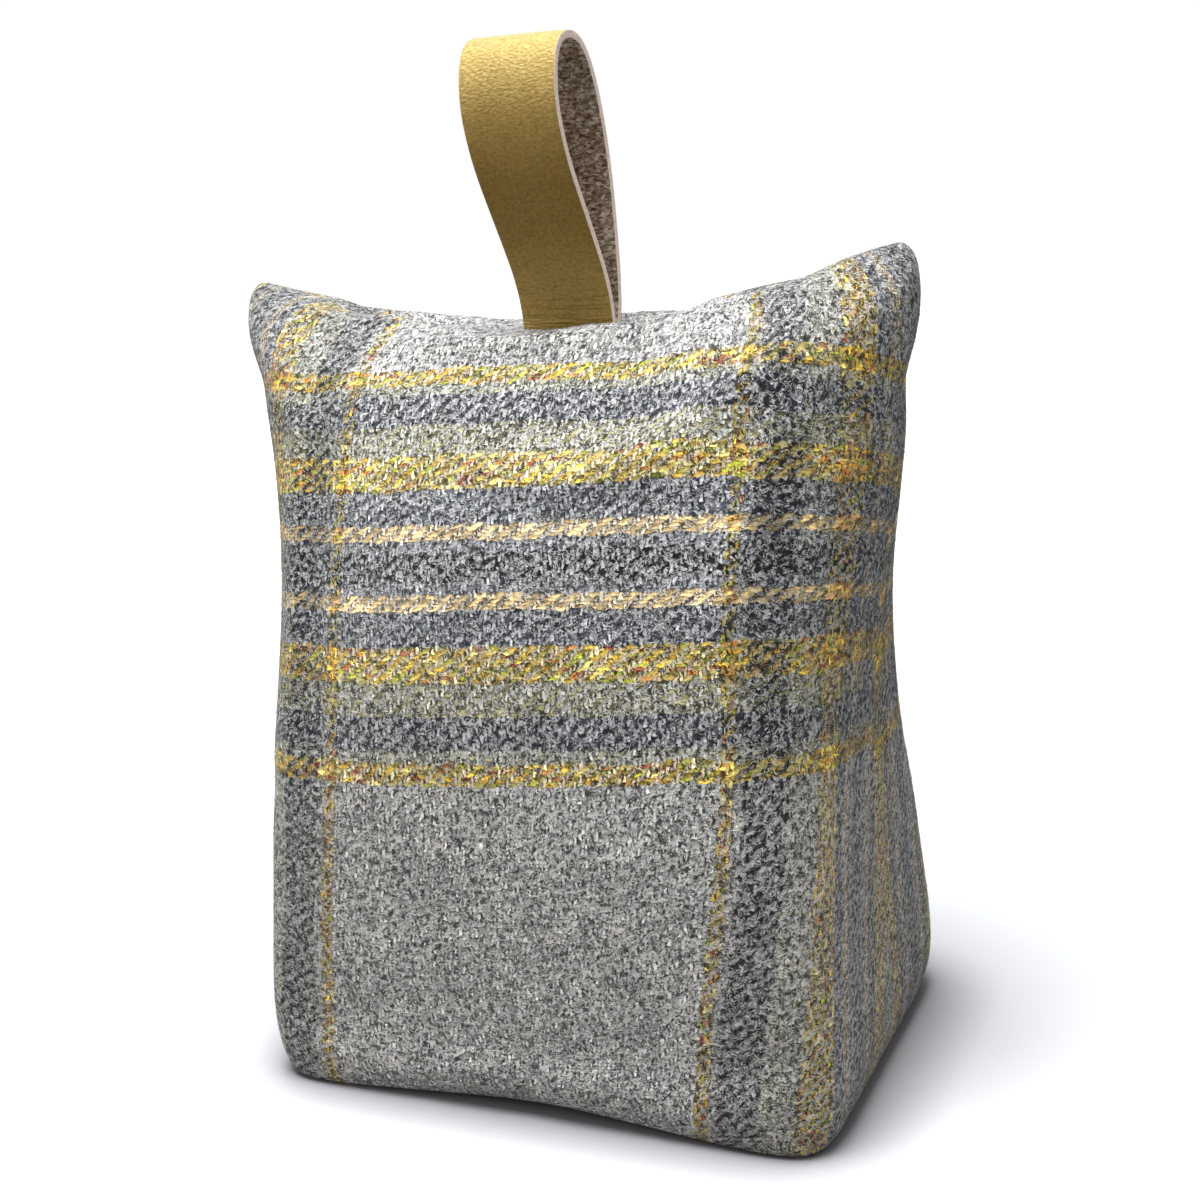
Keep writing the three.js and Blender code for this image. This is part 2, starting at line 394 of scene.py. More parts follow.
# How far the cloth is stretched up and down, as a polynomial of the height above the band
BAND_STRETCH = (4.0, -0.2, 0, 0)
BAND_STEPS_UP = 1.1

step_round = np.linalg.norm(np.diff(wrapped, axis=1), axis=2)
length_round = np.concatenate([np.zeros((ROWS + 1, 1)), np.cumsum(step_round, axis=1)], axis=1)
step_up = np.linalg.norm(np.diff(wrapped, axis=0), axis=2)
length_up = np.concatenate([np.zeros((1, COLUMNS + 1)), np.cumsum(step_up, axis=0)], axis=0)
length_up -= length_up[BASE_ROWS]
upward = length_up / length_up[-1] * CLOTH_HEIGHT


def thread_lines(centre_column, sign):
    """Distance across the cloth from the middle of a panel, for every point of the grid."""
    from_middle = length_round - length_round[:, centre_column][:, None]
    quarter_length = np.abs(from_middle[:, centre_column + QUARTER])[:, None]
    quarter_length = np.maximum(quarter_length, 1e-6)
    height_share = np.clip(upward / CLOTH_HEIGHT, 0, 1)
    cut = CLOTH_HALF_BASE + (CLOTH_HALF_SEAM - CLOTH_HALF_BASE) * height_share
    near_seam = np.clip((height_share - SEAM_GATHER_FROM) / (1 - SEAM_GATHER_FROM), 0, 1)
    cut = cut + SEAM_GATHER * near_seam ** 2
    share = from_middle / quarter_length
    return sign * (from_middle + (cut - quarter_length) * share ** 3)


back_threads = thread_lines(QUARTER, 1)
front_threads = thread_lines(3 * QUARTER, 1)
settle = np.clip(upward / GRAIN_SETTLES, 0, 1)
settle = settle * settle * (3 - 2 * settle)
grain = GRAIN_AT_BASE + (GRAIN_ABOVE - GRAIN_AT_BASE) * settle

mesh = pouch.data
uv_map = mesh.uv_layers[0]
uv_map.name = "cloth"
loop_vertex = np.zeros(len(mesh.loops), dtype=int)
mesh.loops.foreach_get("vertex_index", loop_vertex)
loop_column = column[loop_vertex]
loop_row = row[loop_vertex]
face_middle = np.repeat([np.mean([column[v] for v in p.vertices]) for p in mesh.polygons], 4)
face_height = np.repeat([np.mean([row[v] for v in p.vertices]) for p in mesh.polygons], 4)
on_front = face_middle > COLUMNS / 2
threads = np.where(
    on_front,
    front_threads[loop_row, loop_column],
    back_threads[loop_row, loop_column],
)
u = (threads - grain[loop_row, loop_column]) / REPEAT + 0.5
across_cloth = np.clip(threads / BOW_REACH, -BOW_STEPS_ACROSS, BOW_STEPS_ACROSS)
up_cloth = (upward[loop_row, loop_column] - BAND_HEIGHT) / BOW_REACH
bow = np.polyval(BOW_AT_BAND, across_cloth) + np.polyval(BOW_ABOVE_BAND, across_cloth) * up_cloth
bow += np.polyval(BAND_STRETCH, np.clip(up_cloth, -BAND_STEPS_UP, BAND_STEPS_UP))
v = (upward[loop_row, loop_column] - BAND_HEIGHT - bow) / REPEAT
on_base = face_height < BASE_ROWS
place = wrapped[loop_row, loop_column]
u = np.where(on_base, place[:, 0] / REPEAT + 0.5, u)
v = np.where(on_base, place[:, 1] / REPEAT + 0.5, v)
uv_map.data.foreach_set("uv", np.stack([u, v], axis=1).ravel())
print("thread lines set on", len(loop_vertex), "corners")

# %% [markdown]
# ## The pouch, step 5: sew it shut and fill it
#
# Merging the points that now lie on each other sews the side seam, the top seam and the middle of
# the base. Then the cloth is simulated: pressure stands for the fill, the base and the seam are
# held, and the cloth is a touch larger than the form, which gives the soft puckers that no
# formula has. How far a point may move is capped, so the pouch keeps its size.
#
# Air in a bag makes it round, while sand leans on its sides. So the sides keep their width, and
# get a few low swells instead, and the ears, stiff with folded cloth, keep their shape.

# %% Sew and fill
SIMULATION_FRAMES = 22
PRESSURE = 5.0
SPARE_CLOTH = 0.012
LARGEST_MOVE = 2.0
FOOT_HOLD_REACH = 26
SEAM_HOLD_REACH = 84
EAR_FOLD_START = 180
EAR_FOLD_HEIGHT = 15
TIP_STIFFNESS = 0.75
TIP_REACH = 20
# What the heavy fill does to the sides: which side, height, reach and how far it pushes them out
SIDE_SWELLS = ((-1, 90, 30, 1.6), (1, 150, 22, 1.1), (1, 58, 28, 1.1))
SWELL_START = 30
SWELL_WIDTH = 45
# The ears are turned cloth, four layers thick, so they spread a little, by the whole amount at
# their reach, and the tip, which starts at an inner reach, is blunt
EAR_SPREADS = {-1: 2.4, 1: 0.3}
EAR_SPREAD_FROM = 168
EAR_REACH = 90
EAR_INNER_REACH = 80
EAR_TIP_RADIUS = 7


def sewn(piece):
    nothing_selected()
    bpy.context.view_layer.objects.active = piece
    piece.select_set(True)
    bpy.ops.object.mode_set(mode="EDIT")
    bpy.ops.mesh.select_all(action="SELECT")
    bpy.ops.mesh.remove_doubles(threshold=0.02 * MM)
    bpy.ops.mesh.normals_make_consistent(inside=False)
    bpy.ops.object.mode_set(mode="OBJECT")


sewn(pouch)
rest = np.array([v.co for v in pouch.data.vertices])


def hold_strength(point):
    """1 on the base and in the middle of the top seam, fading over the cloth beside them."""
    x, y, z = point / MM
    foot_hold = np.clip(1 - (z - 2) / FOOT_HOLD_REACH, 0, 1) ** 2
    seam_here = z > SEAM_HEIGHT - CREASE_DEPTH - 1 and abs(y) < 0.2
    return 1.0 if seam_here and abs(x) < SEAM_HOLD_REACH else float(foot_hold)


held = pouch.vertex_groups.new(name="held")
for index, point in enumerate(rest):
    held.add([index], hold_strength(point), "REPLACE")

cloth = pouch.modifiers.new("fill", "CLOTH")
settings = cloth.settings
settings.quality = 6
settings.mass = 0.3
settings.air_damping = 1.5
settings.tension_stiffness = 20
settings.compression_stiffness = 20
settings.shear_stiffness = 6
settings.bending_stiffness = 0.4
settings.use_pressure = True
settings.uniform_pressure_force = PRESSURE
settings.shrink_min = -SPARE_CLOTH
settings.effector_weights.gravity = 0
settings.vertex_group_mass = "held"
settings.pin_stiffness = 1.0
cloth.collision_settings.use_collision = False
cloth.collision_settings.use_self_collision = False
cloth.point_cache.frame_start = 1
cloth.point_cache.frame_end = SIMULATION_FRAMES
for number in range(1, SIMULATION_FRAMES + 1):
    bpy.context.scene.frame_set(number)
bpy.ops.object.modifier_apply(modifier=cloth.name)
blown = np.array([v.co for v in pouch.data.vertices])
move = (blown - rest) / MM
# The heavy fill stands against the sides, so below the ears they keep their width
toward_top = np.clip((rest[:, 2] / MM - EAR_FOLD_START) / EAR_FOLD_HEIGHT, 0, 1)
move[:, 0] *= toward_top
toward_tip = np.clip((np.abs(rest[:, 0]) / MM - EAR_STEP_START) / TIP_REACH, 0, 1) * toward_top
move *= (1 - TIP_STIFFNESS * toward_tip)[:, None]
size = np.linalg.norm(move, axis=1)
scale = np.minimum(1, LARGEST_MOVE / np.maximum(size, 1e-9))
settled = rest + move * scale[:, None] * MM
pouch.data.vertices.foreach_set("co", settled.ravel())
pouch.data.update()
bpy.context.scene.frame_set(1)
print("cloth moved by up to", round(float(size.max()), 2), "mm")

pouch.vertex_groups.clear()
points = np.array([v.co for v in pouch.data.vertices]) / MM
x, z = points[:, 0], points[:, 2]
toward_side = np.clip((np.abs(x) - SWELL_START) / SWELL_WIDTH, 0, 1) ** 2
push = np.zeros(len(points))
for side, middle, reach, amount in SIDE_SWELLS:
    push += side * amount * bell(z - middle, reach) * toward_side * (np.sign(x) == side)
up_share = np.clip((z - EAR_SPREAD_FROM) / (SEAM_HEIGHT - EAR_SPREAD_FROM), 0, 1)
spread = np.where(x > 0, EAR_SPREADS[1], EAR_SPREADS[-1])
points[:, 0] += push + spread * up_share * (x / EAR_REACH) ** 3
# Each tip is rounded: what lies beyond a circle inside it comes back onto the circle
for side in (-1, 1):
    out, up = points[:, 0] * side, points[:, 2]
    tip_out = out[up > EAR_FOLD_START].max()
    tip_up = up[out > EAR_INNER_REACH].max()
    from_out = out - (tip_out - EAR_TIP_RADIUS)
    from_up = up - (tip_up - EAR_TIP_RADIUS)
    distance = np.hypot(from_out, from_up)
    beyond = (from_out > 0) & (from_up > 0) & (distance > EAR_TIP_RADIUS)
    inward = np.where(beyond, EAR_TIP_RADIUS / np.maximum(distance, 1e-6) - 1, 0)
    points[:, 0] += side * from_out * inward
    points[:, 2] += from_up * inward
pouch.data.vertices.foreach_set("co", (points * MM).ravel())
pouch.data.update()

smoother = pouch.modifiers.new("smooth", "SUBSURF")
smoother.levels = 1
smoother.render_levels = 1
bpy.ops.object.modifier_apply(modifier=smoother.name)
for polygon in pouch.data.polygons:
    polygon.use_smooth = True
print("pouch faces:", len(pouch.data.polygons))

# %% [markdown]
# ## The tweed
#
# Woollen tweed is carded wool, dyed before it is spun, so one yarn holds fibres of several
# colours. It is woven in a two-and-two twill: each yarn goes over two and under two, one step
# further in each row, which draws the diagonal. Wool scatters light, so it is rough all over with
# a little sheen. The 172 warp and 208 weft yarns of a repeat lie 1.2 and 1.0 mm apart.
#
# A pattern picture could give this, but a formula stays sharp from close by: whole numbers of the
# map, times the yarn counts, say which yarn a point lies on, and the difference of the two says
# which of them is on top.

# %% Tweed: where the yarns run
WARP_YARNS = 172
WEFT_YARNS = 208
# How far a yarn strays from its line, in millimetres, and over how many millimetres it does so
YARN_STRAYS = ((1.5, 8.0), (1.0, 2.2), (0.55, 0.9))

tweed = new_material("woollen_tweed_twill")
tree = tweed.node_tree
cloth_map = add_node(tree, "UVMap", uv_map="cloth")
threads = cloth_map
for stray, over in YARN_STRAYS:
    wander = noise(tree, cloth_map, REPEAT / over, 1.0, dimensions="2D").outputs["Color"]
    wander = vector_node(tree, "SUBTRACT", wander, (0.5, 0.5, 0.5))
    threads = vector_node(tree, "MULTIPLY_ADD", wander, (stray / REPEAT,) * 3, threads)
threads = vector_node(tree, "MULTIPLY", threads, (WARP_YARNS, WEFT_YARNS, 0))
whole = vector_node(tree, "FLOOR", threads)
x, y = add_node(tree, "SeparateXYZ", {0: threads}).outputs[:2]
warp, weft = add_node(tree, "SeparateXYZ", {0: whole}).outputs[:2]
print("yarn spacing, mm:", round(REPEAT / WARP_YARNS, 2), round(REPEAT / WEFT_YARNS, 2))

# %% [markdown]
# A float is the stretch where a yarn lies on top. It is two yarns long. Along it, the place runs
# from -1 to 1, and across it from -0.5 to 0.5. Each float leans a little, because the yarn is
# twisted, and that lean is what makes the pale stripes look like rows of small stitches.

# %% Tweed: which yarn is on top
TWILL_REPEAT = 4.0
TWILL_OVER = 2.0
WARP_LEAN = 0.10
WEFT_LEAN = 0.20
WARP_FLECK_WIDTH = 0.60
# How fast the top of a float falls away across and along it, and how full its middle is
ROUND_ACROSS = -3.4
ROUND_ALONG = -0.6
ROUND_POWER = 0.6

step = math_node(tree, "SUBTRACT", warp, weft)
phase = math_node(tree, "FLOORED_MODULO", step, TWILL_REPEAT)
warp_on_top = math_node(tree, "LESS_THAN", phase, TWILL_OVER)

floats = {}
for name, along, own, start in (("warp", y, warp, 1.0), ("weft", x, weft, -2.0)):
    begun = math_node(tree, "SUBTRACT", along, own)
    begun = math_node(tree, "ADD", begun, start)
    number = math_node(tree, "DIVIDE", begun, TWILL_REPEAT)
    number = math_node(tree, "FLOOR", number)
    place = math_node(tree, "FLOORED_MODULO", begun, TWILL_REPEAT)
    place = math_node(tree, "SUBTRACT", place, 1.0)
    floats[name] = (place, number, own)

across_warp = math_node(tree, "SUBTRACT", x, warp)
across_weft = math_node(tree, "SUBTRACT", y, weft)

# The warp is spun finer than the weft, so a warp float is a narrow fleck with weft on both sides
from_line = math_node(tree, "SUBTRACT", across_warp, 0.5)
from_line = math_node(tree, "ABSOLUTE", from_line)
near_line = math_node(tree, "LESS_THAN", from_line, WARP_FLECK_WIDTH / 2)
warp_on_top = math_node(tree, "MULTIPLY", warp_on_top, near_line)


def chosen(first, second):
    """The first where the warp is on top, and the second where the weft is."""
    kind = "RGBA" if first.type == "RGBA" or second.type == "RGBA" else "FLOAT"
    node = add_node(tree, "Mix", {0: warp_on_top}, data_type=kind)
    start = 6 if kind == "RGBA" else 2
    tree.links.new(second, node.inputs[start])
    tree.links.new(first, node.inputs[start + 1])
    return node.outputs[2 if kind == "RGBA" else 0]


along = chosen(floats["warp"][0].outputs[0], floats["weft"][0].outputs[0])
across = chosen(across_warp.outputs[0], across_weft.outputs[0])
across = math_node(tree, "SUBTRACT", across, 0.5)
lean = math_node(tree, "MULTIPLY_ADD", warp_on_top, WARP_LEAN - WEFT_LEAN, WEFT_LEAN)
shift = math_node(tree, "MULTIPLY", lean, along)
across = math_node(tree, "SUBTRACT", across, shift)

# The top of a float is round both ways
across_round = math_node(tree, "MULTIPLY", across, across)
across_round = math_node(tree, "MULTIPLY_ADD", across_round, ROUND_ACROSS, 1.0)
along_round = math_node(tree, "MULTIPLY", along, along)
along_round = math_node(tree, "MULTIPLY_ADD", along_round, ROUND_ALONG, 1.0)
hump = math_node(tree, "MULTIPLY", across_round, along_round, use_clamp=True)
hump = math_node(tree, "POWER", hump, ROUND_POWER)

# Each float has a number of its own, so each can have its own colour
own_number = add_node(tree, "CombineXYZ", {
    0: chosen(floats["warp"][2], floats["weft"][2]),
    1: chosen(floats["warp"][1].outputs[0], floats["weft"][1].outputs[0]),
    2: warp_on_top,
})
chance = add_node(tree, "TexWhiteNoise", {"Vector": own_number}, noise_dimensions="3D")
chance_two = add_node(tree, "SeparateColor", {0: chance.outputs["Color"]}).outputs[2]
print("float nodes ready")

# %% [markdown]
# The weft and the warp carry nearly the same stripes, but the ground of the warp is lighter,
# which is why pale flecks show all over. The yellow stripes are melange: they mix yellow,
# mustard, rust and lime, float by float. Fibres of each yarn cling to the one that crosses it, so
# where a stripe of the warp crosses one of the weft, each is tinted by the other.

# %% Tweed: the check
WEFT_STRIPES = (
    (0.0, "#08090D"), (3.4, "#6A6B70"), (6.8, "#D8BB82"), (11.0, "#454750"),
    (19.5, "yellow"), (28.2, "#8C8760"), (36.4, "#2B2D36"), (43.8, "#8E8C72"),
    (46.2, "yellow"), (50.8, "#A6A39D"),
)
WARP_STRIPES = (
    (0.0, "#33353F"), (2.4, "#8E8F93"), (6.6, "#C9B284"), (10.6, "#4E505A"),
    (15.4, "yellow"), (25.2, "#A3A28C"), (33.6, "#0E0F15"), (43.8, "#AEADA6"),
    (46.2, "yellow"), (50.4, "#DAD9D7"),
)
MELANGE = (
    (0.00, "#ECC84C"), (0.18, "#CDA233"), (0.38, "#98822C"), (0.52, "#C98038"),
    (0.60, "#9C442C"), (0.65, "#ADB036"), (0.80, "#F0DC80"),
)
MELANGE_MEAN = "#D3A632"
# What the alpha of a stop says: 1 is melange, and 0.5 is a smooth yarn that sheds little fibre
STRIPE_KIND = {"yellow": 1.0, "#D8BB82": 0.5}
MELANGE_FROM = 0.75
# How much of its colour a yarn lends to the one that crosses it, and the level that changes nothing
CLINGING_SHARE = 0.42
CLINGING_MEAN = 0.42


def stripes_of(yarn_number, yarn_count, stripes):
    middle = math_node(tree, "ADD", yarn_number, 0.5)
    middle = math_node(tree, "DIVIDE", middle, float(yarn_count))
    distance = math_node(tree, "PINGPONG", middle, 0.5)
    ramp = add_node(tree, "ValToRGB", {0: distance})
    fill_ramp(ramp, [(stop / REPEAT, colour) for stop, colour in stripes], "CONSTANT")
    return ramp


def fill_ramp(ramp, stops, blend="LINEAR"):
    points = ramp.color_ramp
    points.interpolation = blend
    while len(points.elements) < len(stops):
        points.elements.new(1.0)
    for point, (position, colour) in zip(points.elements, stops):
        point.position = position
        shown = MELANGE_MEAN if colour == "yellow" else colour
        point.color = (*linear(shown)[:3], STRIPE_KIND.get(colour, 0.0))


warp_ramp = stripes_of(warp, WARP_YARNS, WARP_STRIPES)
weft_ramp = stripes_of(weft, WEFT_YARNS, WEFT_STRIPES)
stripe_kind = chosen(warp_ramp.outputs[1], weft_ramp.outputs[1])
is_melange = math_node(tree, "GREATER_THAN", stripe_kind, MELANGE_FROM)
is_smooth = math_node(tree, "COMPARE", stripe_kind, 0.5, 0.2)
melange_ramp = add_node(tree, "ValToRGB", {0: chance})
fill_ramp(melange_ramp, MELANGE, "CONSTANT")
dyed = []
for ramp in (warp_ramp, weft_ramp):
    is_mix = math_node(tree, "GREATER_THAN", ramp.outputs[1], MELANGE_FROM)
    dyed.append(mixed(tree, is_mix, ramp.outputs[0], melange_ramp.outputs[0]))
crossing = chosen(dyed[1], dyed[0])
tint = vector_node(tree, "MULTIPLY_ADD", crossing, (CLINGING_SHARE / CLINGING_MEAN,) * 3,
                   (1 - CLINGING_SHARE,) * 3)
yarn_colour = vector_node(tree, "MULTIPLY", chosen(dyed[0], dyed[1]), tint).outputs[0]
print("check stripes:", len(WEFT_STRIPES), "weft and", len(WARP_STRIPES), "warp")

# %% [markdown]
# Carded wool isn't one colour, so every float is a bit lighter or darker than the next, and the
# fibres in it show as fine streaks. Loose fibres curl over the whole surface: the lines of equal
# height of a noise are thin and curly too, so they draw them. Pale lines are fibres, and dark
# lines are painted shade between fibres. Where a float dips, its colour is darkened as painted
# shade.

# %% Tweed: fibres and finish
FLOAT_SHADE = 1.3
PAINTED_GAP_SHADE = 0.09
# Each layer of loose fibres: millimetres from curl to curl, how thick a fibre is drawn, how far it
# lifts the surface, and whether it is a pale fibre or painted shade between two fibres
FIBRE_LAYERS = (
    (2.3, 0.062, -0.5, "dark"), (1.5, 0.060, -0.3, "dark"),
    (1.9, 0.040, 0.5, "pale"), (1.2, 0.046, 0.5, "pale"),
)
PALE_FIBRE = "#FAF9F8"
YELLOW_FIBRE = "#F2DD96"
# The colour of the painted shade between fibres
PAINTED_FIBRE_SHADE = "#141519"
# The part of the cloth that a layer covers, how softly it ends, and the millimetres from tuft to
# tuft. A smooth yarn has fewer of them.
FIBRE_COVER = 0.51
FIBRE_COVER_EDGE = 0.06
TUFT = 1.7
SMOOTH_YARN_HAIR = 0.4
# The darkest and lightest shade of the streaks and of the clouds, and how far apart clouds lie
STREAK_SHADES = (0.4, 1.85)
CLOUD_SHADES = (0.78, 1.24)
CLOUD_SIZE = 14.0
TWEED_RELIEF = 0.35

shade = math_node(tree, "MULTIPLY_ADD", chance_two, FLOAT_SHADE, 1.0 - FLOAT_SHADE / 2)
streak_place = vector_node(tree, "MULTIPLY", threads, (2.4, 2.4, 1.0))
streaks = noise(tree, streak_place, 1.0, 3.0, 0.7, 1.2, "2D")
streak_shade = map_range(tree, streaks, 0.3, 0.7, *STREAK_SHADES)
# Painted shade: the colour darkens where a float dips between the yarns
gap = map_range(tree, hump, 0.0, 0.8, PAINTED_GAP_SHADE, 1.05)
clouds = noise(tree, cloth_map, REPEAT / CLOUD_SIZE, 4.0, dimensions="2D")
cloud_shade = map_range(tree, clouds, 0.3, 0.7, *CLOUD_SHADES)
for factor in (streak_shade, gap, cloud_shade):
    shade = math_node(tree, "MULTIPLY", shade, factor)
surface = add_node(tree, "VectorMath", {0: yarn_colour, "Scale": shade}, operation="SCALE")
surface = surface.outputs[0]
height = math_node(tree, "MULTIPLY_ADD", streaks, 0.35, hump)

pale_wool = mixed(tree, is_melange, linear(PALE_FIBRE), linear(YELLOW_FIBRE))
fibre_colours = {}
for kind, colour, share in (("pale", pale_wool, 0.62), ("dark", linear(PAINTED_FIBRE_SHADE), 0.92)):
    fibre_colours[kind] = mixed(tree, share, yarn_colour, colour)

hairy = map_range(tree, is_smooth, 0.0, 1.0, 1.0, SMOOTH_YARN_HAIR)
for number, (curl, thin, lift, kind) in enumerate(FIBRE_LAYERS):
    moved = vector_node(tree, "ADD", cloth_map, (number * 3.7, number * 1.9, 0))
    curls = noise(tree, moved, REPEAT / curl, 1.0, 0.5, 1.2, "2D")
    line = math_node(tree, "SUBTRACT", curls, 0.5)
    line = math_node(tree, "ABSOLUTE", line)
    line = map_range(tree, line, thin * 0.5, thin * 1.7, 1.0, 0.0)
    tufts = noise(tree, moved, REPEAT / TUFT, 0.0, dimensions="2D")
    here = map_range(tree, tufts, FIBRE_COVER - FIBRE_COVER_EDGE, FIBRE_COVER + FIBRE_COVER_EDGE,
                     1.0, 0.0)
    line = math_node(tree, "MULTIPLY", line, here)
    line = math_node(tree, "MULTIPLY", line, hairy)
    surface = mixed(tree, line, surface, fibre_colours[kind])
    height = math_node(tree, "MULTIPLY_ADD", line, lift, height)

bump = add_node(tree, "Bump", {"Height": height, "Strength": 0.9, "Distance": TWEED_RELIEF * MM})
tweed_finish = add_node(tree, "BsdfPrincipled", {
    "Base Color": surface,
    "Normal": bump,
    "Roughness": 0.95,
    "Specular IOR Level": 0.12,
    "Sheen Weight": 0.15,
    "Sheen Roughness": 0.6,
})
add_node(tree, "OutputMaterial", {"Surface": tweed_finish})
pouch.data.materials.clear()
pouch.data.materials.append(tweed)
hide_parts("weighted_pouch")
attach(pouch, BODY)
print("tweed nodes:", len(tree.nodes))

# %% [markdown]
# ## The wool's fuzz
#
# From close by, tweed has a haze of loose fibres that stand off the surface, and they soften the
# outline. Hair would be the usual way, but a mesh can be exported. So each fibre is a thin
# three-sided thread, bent twice and ending in a point, and 42,000 of them are scattered, in four
# pieces from the foot to the top.

# %% Fuzz fibres
FUZZ_PIECES = ("wool_fuzz_foot", "wool_fuzz_waist", "wool_fuzz_chest", "wool_fuzz_top")
FIBRES = 10500
FIBRE_LENGTHS = (1.0, 3.6)
# A real fibre is 0.03 mm thick. These are drawn at about 0.14 mm, so that they show.
FIBRE_RADIUS = 0.072
FIBRE_RINGS = 3
FIBRE_TAPER = 0.25
FIBRE_SINK = 0.1
FIBRE_RISES = (0.1, 0.9)
FIBRE_DROOPS = (0.1, 0.7)
# The lowest fibres start this far above the floor, and none goes through it
FUZZ_FROM = 4

fibre_chance = np.random.default_rng(11)
pouch.data.calc_loop_triangles()
triangle_points = np.zeros(len(pouch.data.loop_triangles) * 3, dtype=int)
pouch.data.loop_triangles.foreach_get("vertices", triangle_points)
cloth_points = np.array([v.co for v in pouch.data.vertices])
corners = cloth_points[triangle_points.reshape(-1, 3)]
heights = corners[:, :, 2].mean(axis=1)
order = np.argsort(heights)
corners = corners[order[heights[order] > FUZZ_FROM * MM]]
facing = np.cross(corners[:, 1] - corners[:, 0], corners[:, 2] - corners[:, 0])
area_so_far = np.cumsum(np.linalg.norm(facing, axis=1))
area_so_far /= area_so_far[-1]


def unit(vectors):
    return vectors / np.linalg.norm(vectors, axis=1)[:, None]


def fibre_points(part):
    """Ten points for each fibre of one piece: three rings of three, and a tip."""
    size = (FIBRES, 1)
    share = (part + fibre_chance.random(FIBRES)) / len(FUZZ_PIECES)
    chosen_face = np.searchsorted(area_so_far, share)
    a, b, c = corners[chosen_face].transpose(1, 0, 2)
    mix = fibre_chance.dirichlet((1, 1, 1), FIBRES)
    outward = unit(facing[chosen_face])
    along = fibre_chance.normal(size=(FIBRES, 3))
    along = unit(along - outward * np.sum(along * outward, axis=1)[:, None])
    side = np.cross(outward, along)
    curl = fibre_chance.uniform(-1.0, 1.0, size)
    rise = fibre_chance.uniform(*FIBRE_RISES, size)
    length = fibre_chance.uniform(*FIBRE_LENGTHS, size) * MM
    place = a * mix[:, :1] + b * mix[:, 1:2] + c * mix[:, 2:]
    place -= outward * FIBRE_SINK * MM
    heading = along * (1 - rise) + outward * rise
    points = []
    for ring in range(FIBRE_RINGS):
        heading = unit(heading)
        up = unit(np.cross(heading, side))
        radius = FIBRE_RADIUS * (1 - FIBRE_TAPER * ring) * MM
        for angle in np.arange(3) * math.tau / 3:
            points.append(place + (side * math.cos(angle) + up * math.sin(angle)) * radius)
        place = place + heading * length / FIBRE_RINGS
        heading = heading + side * curl - outward * fibre_chance.uniform(*FIBRE_DROOPS, size)
    points = np.stack([*points, place], axis=1)
    points[:, :, 2] = np.maximum(points[:, :, 2], FIBRE_SINK * MM)
    return points


fibre_faces = [(0, 2, 1)]
for low in range(0, 3 * FIBRE_RINGS - 3, 3):
    for corner in range(3):
        a, b = low + corner, low + (corner + 1) % 3
        fibre_faces += [(a, b, b + 3), (a, b + 3, a + 3)]
last = 3 * FIBRE_RINGS - 3
fibre_faces += [(last + corner, last + (corner + 1) % 3, last + 3) for corner in range(3)]
all_faces = (np.arange(FIBRES)[:, None, None] * (last + 4) + np.array(fibre_faces)).reshape(-1, 3)
print("fibres:", FIBRES * len(FUZZ_PIECES), "faces a piece:", len(all_faces))

# %% Fuzz wool
WOOL_MIX_SCALE = 900.0

wool = new_material("loose_wool_fibre")
wool_tree = wool.node_tree
wool_place = add_node(wool_tree, "TexCoord")
wool_mix = noise(wool_tree, wool_place.outputs["Object"], WOOL_MIX_SCALE)
wool_ramp = add_node(wool_tree, "ValToRGB", {0: wool_mix})
fill_ramp(wool_ramp, [(0.38, "#5A5B60"), (0.48, "#96969A"), (0.58, "#EFEDE8")])
wool_finish = add_node(wool_tree, "BsdfPrincipled", {"Base Color": wool_ramp, "Roughness": 0.8,
                                                   "Specular IOR Level": 0.3})
add_node(wool_tree, "OutputMaterial", {"Surface": wool_finish})

for part, name in enumerate(FUZZ_PIECES):
    fuzz_mesh = bpy.data.meshes.new(name)
    fuzz_mesh.from_pydata(fibre_points(part).reshape(-1, 3).tolist(), [], all_faces.tolist())
    fuzz_mesh.materials.append(wool)
    fuzz = bpy.data.objects.new(name, fuzz_mesh)
    bpy.context.collection.objects.link(fuzz)
    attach(fuzz, BODY)
print("fuzz pieces:", FUZZ_PIECES)

# %% [markdown]
# ## The strap, step 1: one length of leather
#
# The handle is a flat strap of vegetable tanned leather, folded over and caught in the seam. It
# stands stiff and leans forward. A maker would take one end and lead it round, so here one edge,
# as wide as the strap, is extruded from point to point along the middle of the leather.

# %% Lead the strap round
STRAP_WIDTH = 25
STRAP_THICKNESS = 2.2
STRAP_SIDE_OFFSET = 2
# y and z of the middle of the leather, from the front tail over the loop to the rear tail
STRAP_LINE = (
    (-1.3, 182.0), (-1.3, 188.0), (-1.3, 193.8), (-1.9, 198.2), (-2.9, 202.3), (-4.6, 206.5),
    (-6.8, 210.7), (-12.2, 219.3), (-17.8, 228.0), (-22.7, 236.7), (-25.7, 245.3), (-26.2, 252.0),
    (-24.7, 258.4), (-21.2, 262.3), (-16.5, 263.4), (-11.2, 262.1), (-6.4, 257.5), (-2.6, 250.1),
    (0.3, 240.5), (2.3, 229.2), (3.3, 216.5), (3.5, 205.8), (2.9, 198.4), (1.5, 193.8),
    (1.3, 188.0), (1.3, 182.0),
)

nothing_selected()
bpy.ops.mesh.primitive_plane_add(size=STRAP_WIDTH * MM)
strap = bpy.context.object
strap.name = "leather_strap"

